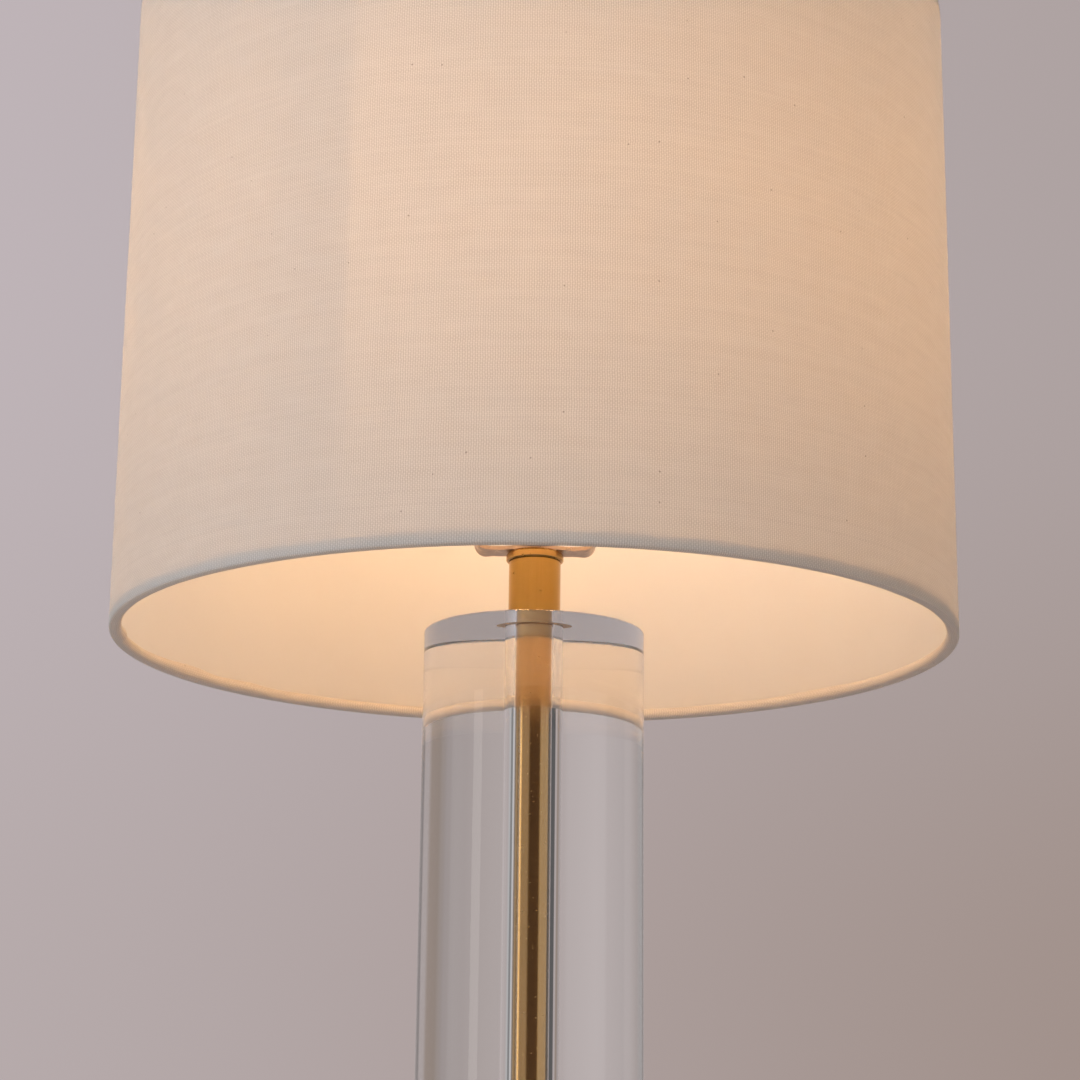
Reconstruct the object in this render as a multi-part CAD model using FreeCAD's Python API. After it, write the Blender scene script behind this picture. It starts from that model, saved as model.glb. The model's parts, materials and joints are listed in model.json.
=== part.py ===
import FreeCAD, Part
import math
import os

from FreeCAD import Vector

# Table lamp: clear solid column on a stepped round base, satin metal stem
# through the column, lampholder, harp and a straight drum shade.
# Units are millimetres, +Z up, origin at the centre of the underside.
# The front of the lamp is -Y, the cord inlet is at the back (+Y), and the
# harp lies in the XZ plane.

# ---------------------------------------------------------------- sizes
# base
FELT_R, FELT_T = 75.4, 2.0
COVER_R, COVER_T = 76.1, 1.2
BASE_R = 78.0            # foot of the shell
SHELL_T = 1.5
SHELL_Z0 = 1.2           # lower edge of the shell, above the table
STEP1_Z = 17.0           # top of the lower step
STEP2_R = 56.5           # upper step
BASE_TOP = 32.0          # face that carries the column
GALLERY_RI, GALLERY_RO, GALLERY_H = 47.0, 50.4, 5.5
INLET_Z = 9.0            # centre of the cord inlet
INLET_R = 3.1            # bore for the cord

# column and stem
SEAT_T = 1.0             # seat washer under the column
GLASS_R = 46.5
GLASS_BORE = 8.0
GLASS_TOP = 400.0
GLASS_EDGE = 1.2         # chamfer at both ends
ROD_R, ROD_RI = 7.5, 6.5 # visible sleeve in the bore
PIPE_R, PIPE_RI = 4.8, 3.3
PIPE_Z0, PIPE_Z1 = 14.5, 447.0
NECK_R, NECK_RI = 11.0, 9.6
NECK_WASHER_T = 0.8
NECK_TOP = 431.0
COLLAR_R, COLLAR_H = 12.2, 4.0

# harp
SADDLE_T = 1.6
SADDLE_W = 52.0          # over the upturned ends
SADDLE_D = 14.0
LEG_X = SADDLE_W / 2 - SADDLE_T / 2
EAR_TOP = 455.0
HARP_WIRE_R = 1.75
HARP_W = 116.0           # widest, on the wire's centre line
HARP_TOP = 657.5         # centre line of the wire at the top
SEAT_Z = 663.2           # seat that carries the shade
STUD_R, STUD_TOP = 3.175, 679.0
FERRULE_R, FERRULE_Z0, FERRULE_L, FERRULE_TRAVEL = 4.3, 446.3, 14.7, 12.0

# lampholder and bulb
CAP_Z0 = 439.6
HOLDER_R = 16.2
HOLDER_Z0, HOLDER_Z1 = 453.5, 497.0
KNOB_Z = 465.0
BULB_TIP = 475.6
BULB_R = 30.0
BULB_TOP = 583.0

# shade
SHADE_R = 178.0          # outside of the fabric
SHADE_Z0 = 393.9         # lower edge
SHADE_H = 280.0
FABRIC_T = 0.7
LINER_T = 0.4
RING_WIRE_R = 2.0
HUB_R, HUB_T = 13.0, 2.0
ARM_R = 1.6

FINIAL_TOP = 700.0

SHADE_Z1 = SHADE_Z0 + SHADE_H
GLASS_Z0 = BASE_TOP + SEAT_T
COLLAR_TOP = NECK_TOP + COLLAR_H
SADDLE_TOP = COLLAR_TOP + SADDLE_T

os.makedirs("parts", exist_ok=True)
V = Vector
Z = V(0, 0, 1)
shapes = {}


# ---------------------------------------------------------------- helpers
def keep(name, shape):
    shape = shape.removeSplitter() if len(shape.Solids) == 1 else shape
    shapes[name] = shape
    return shape


def arc2(p, q, r):
    # three-point arc in (radius, height) coordinates
    return Part.Arc(V(p[0], 0, p[1]), V(q[0], 0, q[1]), V(r[0], 0, r[1])).toShape()


def lathe(points):
    # closed profile of (radius, height) points, turned about the Z axis.
    # An entry ("arc", via, end) bends the way to its end point.
    edges = []
    first = points[0]
    last = first
    for p in list(points[1:]) + [first]:
        if p[0] == "arc":
            edges.append(arc2(last, p[1], p[2]))
            last = p[2]
        else:
            if math.hypot(p[0] - last[0], p[1] - last[1]) > 1e-7:
                edges.append(Part.makeLine(V(last[0], 0, last[1]), V(p[0], 0, p[1])))
            last = p
    face = Part.Face(Part.Wire(edges))
    solid = face.revolve(V(0, 0, 0), Z, 360)
    if solid.Volume < 0:
        solid.reverse()
    return solid


def tube(ro, ri, z0, z1):
    return lathe([(ri, z0), (ro, z0), (ro, z1), (ri, z1)])


def disc(r, z0, z1):
    return Part.makeCylinder(r, z1 - z0, V(0, 0, z0))


def box(x0, x1, y0, y1, z0, z1):
    return Part.makeBox(x1 - x0, y1 - y0, z1 - z0, V(x0, y0, z0))


def hexagon(af, z0, z1):
    r = af / math.sqrt(3)
    pts = [V(r * math.cos(math.radians(60 * i)), r * math.sin(math.radians(60 * i)), z0) for i in range(7)]
    return Part.Face(Part.makePolygon(pts)).extrude(V(0, 0, z1 - z0))


def route(points, radii):
    # straight runs joined by tangent arcs
    pts = [V(*p) for p in points]
    edges = []
    last = pts[0]
    for i in range(1, len(pts) - 1):
        a = (pts[i - 1] - pts[i]).normalize()
        b = (pts[i + 1] - pts[i]).normalize()
        turn = math.pi - a.getAngle(b)
        cut = radii[i - 1] * math.tan(turn / 2)
        p = pts[i] + a * cut
        q = pts[i] + b * cut
        half = (a + b).normalize()
        centre = pts[i] + half * (radii[i - 1] / math.cos(turn / 2))
        mid = centre - half * radii[i - 1]
        if (p - last).Length > 1e-6:
            edges.append(Part.LineSegment(last, p).toShape())
        edges.append(Part.Arc(p, mid, q).toShape())
        last = q
    edges.append(Part.LineSegment(last, pts[-1]).toShape())
    return Part.Wire(edges)


def sweep(wire, r):
    e = wire.OrderedEdges[0] if hasattr(wire, "OrderedEdges") else wire.Edges[0]
    start = e.valueAt(e.FirstParameter)
    along = e.tangentAt(e.FirstParameter)
    ring = Part.Wire(Part.makeCircle(r, start, along))
    solid = wire.makePipeShell([ring], True, False)
    if solid.Volume < 0:
        solid.reverse()
    return solid


# ---------------------------------------------------------------- base
keep("felt_pad", disc(FELT_R, 0, FELT_T))

COVER_Z1 = FELT_T + COVER_T
screw_at = [(58.0 * math.cos(math.radians(a)), 58.0 * math.sin(math.radians(a))) for a in (30, 150, 270)]
cover = disc(COVER_R, FELT_T, COVER_Z1)
for x, y in screw_at:
    cover = cover.cut(Part.makeCylinder(2.2, COVER_T, V(x, y, FELT_T)))
keep("cover_plate", cover)

# cast weight: stepped like the shell, with a well for the lower nut and a
# channel for the wiring that runs out to the back
W0 = COVER_Z1 + 0.3
weight = lathe([(5.3, W0), (72.5, W0), (74.0, W0 + 1.5), (74.0, STEP1_Z - SHELL_T - 4.0),
                (70.0, STEP1_Z - SHELL_T), (STEP2_R - SHELL_T - 0.6, STEP1_Z - SHELL_T),
                (STEP2_R - SHELL_T - 0.6, BASE_TOP - SHELL_T - 5.0),
                (STEP2_R - SHELL_T - 6.0, BASE_TOP - SHELL_T), (5.3, BASE_TOP - SHELL_T)])
weight = weight.cut(disc(19.0, W0 - 1, 23.2))
weight = weight.cut(box(-11.0, 11.0, 0, 80.0, W0 - 1, 16.2 - 1.6))
for x, y in screw_at:
    weight = weight.cut(Part.makeCylinder(1.7, 9.0, V(x, y, W0 - 1)))
keep("base_weight", weight)

screws = []
for x, y in screw_at:
    # the head is sunk into the felt side of the plate, the shank is in the weight
    shank = Part.makeCylinder(1.6, 8.3, V(x, y, COVER_Z1 - 0.9))
    head = Part.makeCone(2.1, 1.6, 0.55, V(x, y, COVER_Z1 - 1.15))
    screws.append(shank.fuse(head).removeSplitter())
keep("cover_screws", Part.makeCompound(screws))

# spun shell: vertical foot band, soft shoulder, cove up to the upper step
B, T = BASE_R, SHELL_T
s1, s2 = STEP1_Z, BASE_TOP
r2 = STEP2_R
k = math.sqrt(0.5)
outer = [(B - 0.6, SHELL_Z0), ("arc", (B - 0.6 + 0.6 * k, SHELL_Z0 + 0.6 - 0.6 * k), (B, SHELL_Z0 + 0.6)), (B, s1 - 3.0),
         ("arc", (B - 3.0 + 3.0 * k, s1 - 3.0 + 3.0 * k), (B - 3.0, s1)),
         (r2 + 4.5, s1),
         ("arc", (r2 + 4.5 - 4.5 * k, s1 + 4.5 - 4.5 * k), (r2, s1 + 4.5)),
         (r2, s2 - 3.5),
         ("arc", (r2 - 3.5 + 3.5 * k, s2 - 3.5 + 3.5 * k), (r2 - 3.5, s2)),
         (5.1, s2)]
inner = [(5.1, s2 - T), (r2 - 3.5, s2 - T),
         ("arc", (r2 - 3.5 + (3.5 - T) * k, s2 - 3.5 + (3.5 - T) * k), (r2 - T, s2 - 3.5)),
         (r2 - T, s1 + 4.5),
         ("arc", (r2 + 4.5 - (4.5 + T) * k, s1 + 4.5 - (4.5 + T) * k), (r2 + 4.5, s1 - T)),
         (B - 3.0, s1 - T),
         ("arc", (B - 3.0 + (3.0 - T) * k, s1 - 3.0 + (3.0 - T) * k), (B - T, s1 - 3.0)),
         (B - T, SHELL_Z0)]
shell = lathe(outer + inner)
shell = shell.cut(Part.makeCylinder(5.0, 12.0, V(0, B - 8.0, INLET_Z), V(0, 1, 0)))
keep("base_shell", shell)

# the weight's corner must stay inside the cove of the shell
weight = shapes["base_weight"].cut(lathe([(r2 + 4.5, s1 - T), ("arc", (r2 + 4.5 - (4.5 + T) * k, s1 + 4.5 - (4.5 + T) * k), (r2 - T, s1 + 4.5)),
                                          (r2 + 8.0, s1 + 4.5), (r2 + 8.0, s1 - T)]))
keep("base_weight", weight)

# flanged snap bush for the cord, at the back
def ycyl(r, y0, y1, z=INLET_Z):
    return Part.makeCylinder(r, y1 - y0, V(0, y0, z), V(0, 1, 0))

bush = ycyl(4.8, 66.5, 80.2).fuse(ycyl(6.4, 77.0, 80.2)).fuse(ycyl(5.5, 73.4, 75.2))
bush = bush.cut(ycyl(INLET_R, 60, 90))
bush = bush.cut(shapes["base_shell"])
bush = max(bush.Solids, key=lambda s: s.Volume)
keep("cord_inlet_bush", bush)

# two-way terminal block in the channel
BLK = box(-9.0, 9.0, 30.0, 48.0, COVER_Z1 + 0.5, 13.2)
BLK = BLK.makeFillet(0.8, [e for e in BLK.Edges if abs(e.Length - (13.2 - COVER_Z1 - 0.5)) < 1e-6])
blk = BLK
for x in (-4.2, 4.2):
    blk = blk.cut(Part.makeCylinder(1.3, 30, V(x, 25, 8.5), V(0, 1, 0)))
    for y in (34.0, 44.0):
        blk = blk.cut(Part.makeCylinder(1.35, 5.0, V(x, y, 9.9)))
keep("terminal_block", blk)
bs = []
for x in (-4.2, 4.2):
    for y in (34.0, 44.0):
        c = Part.makeCylinder(1.3, 4.0, V(x, y, 9.9))
        c = c.cut(box(x - 0.25, x + 0.25, y - 2, y + 2, 13.2, 14.5))
        bs.append(c)
keep("terminal_block_screws", Part.makeCompound(bs))

# ---------------------------------------------------------------- stem
keep("lower_washer", tube(13.0, 5.1, 21.8, 23.2))
keep("lower_nut", hexagon(17.0, 16.0, 21.8).cut(disc(PIPE_R + 0.02, 15, 23)))
keep("threaded_pipe", tube(PIPE_R, PIPE_RI, PIPE_Z0, PIPE_Z1))
keep("seat_washer", tube(44.0, 8.2, BASE_TOP, GLASS_Z0))
keep("gallery_ring", lathe([(GALLERY_RI, BASE_TOP), (GALLERY_RO, BASE_TOP), (GALLERY_RO, BASE_TOP + GALLERY_H - 1.6),
                            ("arc", (GALLERY_RO - 1.6 + 1.6 * k, BASE_TOP + GALLERY_H - 1.6 + 1.6 * k), (GALLERY_RO - 1.6, BASE_TOP + GALLERY_H)),
                            (GALLERY_RI, BASE_TOP + GALLERY_H)]))
g = GLASS_EDGE
keep("crystal_column", lathe([(GLASS_BORE, GLASS_Z0), (GLASS_R - g, GLASS_Z0), (GLASS_R, GLASS_Z0 + g),
                              (GLASS_R, GLASS_TOP - g), (GLASS_R - g, GLASS_TOP), (GLASS_BORE, GLASS_TOP)]))
keep("rod_sleeve", tube(ROD_R, ROD_RI, BASE_TOP, GLASS_TOP + NECK_WASHER_T + 2.0))
keep("neck_washer", tube(10.4, ROD_R + 0.3, GLASS_TOP, GLASS_TOP + NECK_WASHER_T))
n0 = GLASS_TOP + NECK_WASHER_T
keep("neck_tube", lathe([(NECK_RI, n0), (NECK_R - 0.4, n0), (NECK_R, n0 + 0.4), (NECK_R, NECK_TOP), (PIPE_R + 0.2, NECK_TOP),
                         (PIPE_R + 0.2, NECK_TOP - 3.0), (NECK_RI, NECK_TOP - 3.0)]))
c = 0.7
keep("collar_ring", lathe([(PIPE_R + 0.15, NECK_TOP), (COLLAR_R - c, NECK_TOP), ("arc", (COLLAR_R - c + c * k, NECK_TOP + c - c * k), (COLLAR_R, NECK_TOP + c)),
                           (COLLAR_R, COLLAR_TOP - c), ("arc", (COLLAR_R - c + c * k, COLLAR_TOP - c + c * k), (COLLAR_R - c, COLLAR_TOP)),
                           (PIPE_R + 0.15, COLLAR_TOP)]))

# ---------------------------------------------------------------- harp saddle
# flat strip bent up at both ends into ears that narrow to tangs
st = SADDLE_T
xe = SADDLE_W / 2
ro_b, ri_b = 5.1, 5.1 - st
z0 = COLLAR_TOP


def pt(x, z):
    return V(x, -SADDLE_D / 2, z)


def bend(cx, cz, r, a0, a1):
    am = math.radians((a0 + a1) / 2)
    a0, a1 = math.radians(a0), math.radians(a1)
    return Part.Arc(pt(cx + r * math.cos(a0), cz + r * math.sin(a0)), pt(cx + r * math.cos(am), cz + r * math.sin(am)),
                    pt(cx + r * math.cos(a1), cz + r * math.sin(a1))).toShape()


cz = z0 + ro_b
cxr = xe - ro_b
prof = [Part.makeLine(pt(-cxr, z0), pt(cxr, z0)), bend(cxr, cz, ro_b, -90, 0), Part.makeLine(pt(xe, cz), pt(xe, EAR_TOP)),
        Part.makeLine(pt(xe, EAR_TOP), pt(xe - st, EAR_TOP)), Part.makeLine(pt(xe - st, EAR_TOP), pt(xe - st, cz)),
        bend(cxr, cz, ri_b, 0, -90), Part.makeLine(pt(cxr, z0 + st), pt(-cxr, z0 + st)), bend(-cxr, cz, ri_b, -90, -180),
        Part.makeLine(pt(-xe + st, cz), pt(-xe + st, EAR_TOP)), Part.makeLine(pt(-xe + st, EAR_TOP), pt(-xe, EAR_TOP)),
        Part.makeLine(pt(-xe, EAR_TOP), pt(-xe, cz)), bend(-cxr, cz, ro_b, 180, 270)]
saddle = Part.Face(Part.Wire(prof)).extrude(V(0, SADDLE_D, 0))
# ears: full width at the bend, rounded shoulders at the foot of the tang
TANG_W = 5.0
for sgn in (-1, 1):
    x0 = sgn * xe - 3 if sgn > 0 else -xe - 3
    for side in (-1, 1):
        ys = side * TANG_W / 2
        yo = side * (SADDLE_D / 2 + 1)
        sh = EAR_TOP - 9.2
        w = [V(x0, ys, EAR_TOP + 1), V(x0, ys, sh), V(x0, side * (SADDLE_D / 2 - 2.2), sh - 0.2), V(x0, side * SADDLE_D / 2, sh - 2.6),
             V(x0, yo, sh - 2.6), V(x0, yo, EAR_TOP + 1), V(x0, ys, EAR_TOP + 1)]
        saddle = saddle.cut(Part.Face(Part.makePolygon(w)).extrude(V(6, 0, 0)))
# the strip is waisted a little between its middle and its ends
for side in (-1, 1):
    for sgn in (-1, 1):
        pk = [V(sgn * 9.5, side * 9.0, z0 - 1), V(sgn * 9.5, side * SADDLE_D / 2, z0 - 1), V(sgn * 13.0, side * (SADDLE_D / 2 - 1.2), z0 - 1),
              V(sgn * 18.0, side * (SADDLE_D / 2 - 1.2), z0 - 1), V(sgn * 21.5, side * SADDLE_D / 2, z0 - 1), V(sgn * 21.5, side * 9.0, z0 - 1),
              V(sgn * 9.5, side * 9.0, z0 - 1)]
        saddle = saddle.cut(Part.Face(Part.makePolygon(pk)).extrude(V(0, 0, 4)))
saddle = saddle.cut(disc(PIPE_R + 0.15, z0 - 1, z0 + 4))
keep("harp_saddle", saddle)

keep("upper_nut", hexagon(17.0, SADDLE_TOP, CAP_Z0).cut(disc(PIPE_R + 0.02, SADDLE_TOP - 1, CAP_Z0 + 1)))

# ---------------------------------------------------------------- lampholder
# cap: threaded hub, dished floor and a rim that takes the shell
ct = 0.8
cz0 = CAP_Z0
rim_i = HOLDER_R + 0.15
rim_o = rim_i + ct
cap = lathe([(PIPE_R + 0.02, cz0), (9.0, cz0), (12.5, cz0 + 2.2), (15.4, cz0 + 6.5), (rim_o, cz0 + 12.5), (rim_o, cz0 + 20.4),
             (rim_i, cz0 + 20.4), (rim_i, cz0 + 13.0), (14.7, cz0 + 7.3), (11.9, cz0 + 3.1), (8.6, cz0 + 1.6), (7.6, cz0 + 1.6),
             (7.6, cz0 + 9.0), (PIPE_R + 0.02, cz0 + 9.0)])
sx = Part.makeCylinder(1.5, 12.0, V(4.0, 0, cz0 + 5.2), V(1, 0, 0))
sx.rotate(V(0, 0, 0), Z, 135)
cap = cap.cut(sx)
keep("socket_cap", cap)
ss = Part.makeCylinder(1.45, 6.0, V(PIPE_R + 0.05, 0, cz0 + 5.2), V(1, 0, 0))
sh_ = Part.makeCylinder(1.45, 1.0, V(PIPE_R + 6.05, 0, cz0 + 5.2), V(1, 0, 0))
ss = ss.fuse(sh_).removeSplitter()
ss = ss.cut(box(PIPE_R + 6.5, PIPE_R + 8, -2, 2, cz0 + 4.95, cz0 + 5.45))
ss.rotate(V(0, 0, 0), Z, 135)
keep("cap_set_screw", ss)

shell_h = lathe([(HOLDER_R - 0.6, HOLDER_Z0), (HOLDER_R, HOLDER_Z0), (HOLDER_R, 473.2), ("arc", (HOLDER_R + 0.55, 474.0), (HOLDER_R, 474.8)),
                 (HOLDER_R, HOLDER_Z1 - 0.8), ("arc", (HOLDER_R + 0.5, HOLDER_Z1), (HOLDER_R - 0.3, HOLDER_Z1 + 0.35)), (HOLDER_R - 0.6, HOLDER_Z1 - 0.2)])
shell_h = shell_h.cut(Part.makeCylinder(2.4, 12, V(0, -10, KNOB_Z), V(0, -1, 0)))
keep("socket_shell", shell_h)
sleeve = tube(HOLDER_R - 0.75, HOLDER_R - 1.25, 454.2, 495.6)
sleeve = sleeve.cut(Part.makeCylinder(2.6, 12, V(0, -10, KNOB_Z), V(0, -1, 0)))
keep("insulating_sleeve", sleeve)

BODY_R = 14.6
body = disc(BODY_R, 456.2, 474.2)
body = body.cut(disc(9.0, 472.4, 476))
for sgn in (-1, 1):
    body = body.cut(box(min(sgn * 9.5, sgn * 20), max(sgn * 9.5, sgn * 20), -4.0, 4.0, 455, 466.0))
    body = body.cut(Part.makeCylinder(1.65, 6.0, V(sgn * 5.0, 0, 461.0), V(sgn, 0, 0)))
body = body.cut(Part.makeCylinder(1.9, 12.0, V(0, -4.0, KNOB_Z), V(0, -1, 0)))
keep("socket_body", body)

SH_RI = 13.35
keep("screw_shell", lathe([(9.4, 474.2), (SH_RI + 0.4, 474.2), (SH_RI + 0.4, 495.0), (SH_RI, 495.0), (SH_RI, 474.6), (9.4, 474.6)]))
# centre contact: strip that lies in the pocket of the body and springs up to the bulb's tip
cp = [V(-8.0, -2.0, 472.4), V(-3.4, -2.0, 472.4), V(-0.4, -2.0, 474.85), V(2.6, -2.0, 474.85), V(2.6, -2.0, 475.25), V(-0.55, -2.0, 475.25),
      V(-3.6, -2.0, 472.8), V(-8.0, -2.0, 472.8), V(-8.0, -2.0, 472.4)]
keep("centre_contact", Part.Face(Part.makePolygon(cp)).extrude(V(0, 4.0, 0)))

ts = []
for sgn in (-1, 1):
    shank = Part.makeCylinder(1.6, 6.9, V(sgn * 5.0, 0, 461.0), V(sgn, 0, 0))
    head = Part.makeCylinder(3.0, 1.4, V(sgn * 11.9, 0, 461.0), V(sgn, 0, 0))
    s = shank.fuse(head).removeSplitter()
    s = s.cut(box(min(sgn * 12.8, sgn * 14), max(sgn * 12.8, sgn * 14), -0.4, 0.4, 457, 465))
    ts.append(s)
keep("terminal_screws", Part.makeCompound(ts))

# turn switch: shaft in the body, fluted knob in front
keep("switch_shaft", Part.makeCylinder(1.6, 25.0, V(0, -4.3, KNOB_Z), V(0, -1, 0)))
knob = Part.makeCylinder(5.6, 12.0, V(0, -20.0, KNOB_Z), V(0, -1, 0))
knob = knob.makeFillet(1.0, [e for e in knob.Edges if len(e.Vertexes) == 1 and abs(e.CenterOfMass.y + 32.0) < 1e-6])
for i in range(12):
    a = math.radians(30 * i + 15)
    knob = knob.cut(Part.makeCylinder(0.75, 10.2, V(6.0 * math.cos(a), -21.9, KNOB_Z + 6.0 * math.sin(a)), V(0, -1, 0)))
knob = knob.cut(Part.makeCylinder(1.6, 9.3, V(0, -20.0, KNOB_Z), V(0, -1, 0)))
keep("switch_knob", knob)

# leads: terminal block, up the pipe, out to the terminal screws
LEAD_R = 1.0
for name, sgn in (("lead_live", 1), ("lead_neutral", -1)):
    w = route([(sgn * 4.2, 32.5, 8.5), (sgn * 4.2, 23.0, 8.5), (sgn * 1.4, 0, 8.5), (sgn * 1.4, 0, 451.2), (sgn * 10.7, 0, 454.9), (sgn * 10.7, 0, 459.3)],
              [14.0, 5.6, 2.6, 2.6])
    lead = sweep(w, LEAD_R)
    print(name, "route %.1f mm, volume ratio %.4f" % (w.Length, lead.Volume / (math.pi * LEAD_R ** 2 * w.Length)))
    keep(name, lead)

# ---------------------------------------------------------------- bulb
t0 = BULB_TIP
# globe: straight neck, flare, round head, open at the bottom where the cap holds it
zc = BULB_TOP - BULB_R
neck_z = t0 + 25.0
a = math.radians(-38)
px, pz = BULB_R * math.cos(a), zc + BULB_R * math.sin(a)
a2 = math.radians(-12)
gt = 0.8


def globe(r, rn, zb, top):
    # r head radius, rn neck radius, zb lower end
    pxx, pzz = r * math.cos(a), zc + r * math.sin(a)
    return pxx, pzz


def globe_profile(r, rn, zb):
    pxx, pzz = r * math.cos(a), zc + r * math.sin(a)
    via = (rn + (pxx - rn) * 0.40, neck_z + 8.0 + (pzz - neck_z - 8.0) * 0.58)
    return pxx, pzz, via


ox, oz, ovia = globe_profile(BULB_R, 14.0, neck_z)
ix, iz, ivia = globe_profile(BULB_R - gt, 14.0 - gt, neck_z)
keep("bulb_globe", lathe([(14.0 - gt, neck_z - 1.5), (14.0, neck_z - 1.5), (14.0, neck_z + 8.0),
                          ("arc", ovia, (ox, oz)), ("arc", (BULB_R, zc), (BULB_R * k, zc + BULB_R * k)),
                          ("arc", (BULB_R * math.cos(math.radians(70)), zc + BULB_R * math.sin(math.radians(70))), (0.0, BULB_TOP)),
                          (0.0, BULB_TOP - gt), ("arc", ((BULB_R - gt) * math.cos(math.radians(70)), zc + (BULB_R - gt) * math.sin(math.radians(70))), ((BULB_R - gt) * k, zc + (BULB_R - gt) * k)),
                          ("arc", (BULB_R - gt, zc), (ix, iz)), ("arc", ivia, (14.0 - gt, neck_z + 8.0))]))

# cap: rolled screw rings, skirt that grips the neck
rt, rr = 13.05, 12.35
cap_pts = [(8.6, t0 + 3.2), (11.2, t0 + 3.2)]
zz = t0 + 4.6
cap_pts.append((rr, zz))
for i in range(4):
    cap_pts.append(("arc", (rt, zz + 1.81), (rr, zz + 3.62)))
    zz += 3.62
cap_pts += [(rr, zz + 0.8), (14.35, neck_z - 1.8), (14.35, neck_z + 1.0), (14.05, neck_z + 1.0), (14.05, neck_z - 1.6),
            (rr - 0.45, zz + 0.6), (rr - 0.45, t0 + 5.2), (10.8, t0 + 3.7), (8.6, t0 + 3.7)]
keep("bulb_cap", lathe(cap_pts))
keep("bulb_insulator", lathe([(3.6, t0 + 1.4), (5.6, t0 + 1.4), (8.5, t0 + 3.2), (8.5, t0 + 5.0), (3.6, t0 + 5.0)]))
keep("bulb_contact", lathe([(0, t0), (1.6, t0), ("arc", (3.0, t0 + 0.45), (3.5, t0 + 1.4)), (3.5, t0 + 2.4), (0, t0 + 2.4)]))
# filament support: glass stem in the neck with four upright light bars round a wire
bars = [lathe([(0, t0 + 6.0), (5.0, t0 + 6.0), (5.0, neck_z + 8.0), (2.6, neck_z + 14.0), (1.4, neck_z + 30.0), (0, neck_z + 30.6)])]
for i in range(4):
    an = math.radians(45 + 90 * i)
    bars.append(Part.makeCylinder(0.9, 30.0, V(7.0 * math.cos(an), 7.0 * math.sin(an), neck_z + 20.0)))
keep("bulb_filaments", Part.makeCompound(bars))

# ---------------------------------------------------------------- harp
hz = EAR_TOP + 0.3
hw = HARP_W / 2
bow = route([(-LEG_X, 0, hz), (-LEG_X, 0, 500.0), (-hw, 0, 562.0), (-hw + 4.5, 0, HARP_TOP), (hw - 4.5, 0, HARP_TOP), (hw, 0, 562.0), (LEG_X, 0, 500.0), (LEG_X, 0, hz)],
            [58.0, 95.0, 44.0, 44.0, 95.0, 58.0])
wire = sweep(bow, HARP_WIRE_R)
print("harp_bow length %.1f, volume ratio %.4f" % (bow.Length, wire.Volume / (math.pi * HARP_WIRE_R ** 2 * bow.Length)))
keep("harp_bow", wire)
stud = lathe([(0, HARP_TOP - 3.6), (4.6, HARP_TOP - 3.6), (5.4, HARP_TOP - 2.8), (5.4, SEAT_Z - 1.4), (8.6, SEAT_Z - 1.4), (8.6, SEAT_Z), (STUD_R, SEAT_Z), (STUD_R, STUD_TOP - 0.8),
              (STUD_R - 0.8, STUD_TOP), (0, STUD_TOP)])
stud = stud.cut(Part.makeCylinder(HARP_WIRE_R + 0.03, 30, V(-15, 0, HARP_TOP), V(1, 0, 0)))
keep("harp_stud", stud)

f0, f1 = FERRULE_Z0, FERRULE_Z0 + FERRULE_L
for name, x in (("harp_ferrule_left", -LEG_X), ("harp_ferrule_right", LEG_X)):
    fer = lathe([(2.95, f0), (FERRULE_R - 0.3, f0), (FERRULE_R, f0 + 0.3), (FERRULE_R, f1 - 4.0), (FERRULE_R - 0.9, f1 - 1.2), (FERRULE_R - 1.3, f1), (2.1, f1), (2.1, f1 - 2.4), (2.95, f1 - 3.2)])
    fer.translate(V(x, 0, 0))
    keep(name, fer)

# ---------------------------------------------------------------- shade
keep("shade_washer", tube(9.0, 3.55, SEAT_Z + 0.05, SEAT_Z + 1.05))
hub0 = SEAT_Z + 1.15
hub1 = hub0 + HUB_T

# one closed band of fabric: outer wall, rolled round both rings, raw edge
# tucked down behind each ring under the end of the liner
R, tf = SHADE_R, FABRIC_T
ri_w = R - tf                      # inside of the outer wall
rc = ri_w - 0.05 - RING_WIRE_R     # ring centre
ra = RING_WIRE_R + 0.05            # inside of the roll
rb = ra + tf                       # outside of the roll
TUCK = 55.0                        # where the raw edge ends, from the outer side over the top


def on_roll(r, deg, zc_, up):
    a_ = math.radians(deg)
    return (rc + r * math.cos(a_), zc_ + up * r * math.sin(a_))


def roll(zr, up):
    # outer and inner line of the rolled hem, from the wall round to the raw edge
    zc_ = zr + up * rb
    mid = (180.0 + TUCK) / 2
    out = [on_roll(rb, 0, zc_, up), ("arc", on_roll(rb, -45, zc_, up), on_roll(rb, -90, zc_, up)),
           ("arc", on_roll(rb, -135, zc_, up), on_roll(rb, -180, zc_, up)), ("arc", on_roll(rb, mid, zc_, up), on_roll(rb, TUCK, zc_, up))]
    back = [on_roll(ra, TUCK, zc_, up), ("arc", on_roll(ra, mid, zc_, up), on_roll(ra, 180, zc_, up)),
            ("arc", on_roll(ra, -135, zc_, up), on_roll(ra, -90, zc_, up)), ("arc", on_roll(ra, -45, zc_, up), on_roll(ra, 0, zc_, up))]
    return zc_, out, back


def reverse(pts):
    # the same line, followed the other way
    ends = [p[2] if p[0] == "arc" else p for p in pts]
    res = [ends[-1]]
    for i in range(len(pts) - 1, 0, -1):
        res.append(("arc", pts[i][1], ends[i - 1]) if pts[i][0] == "arc" else ends[i - 1])
    return res


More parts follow.
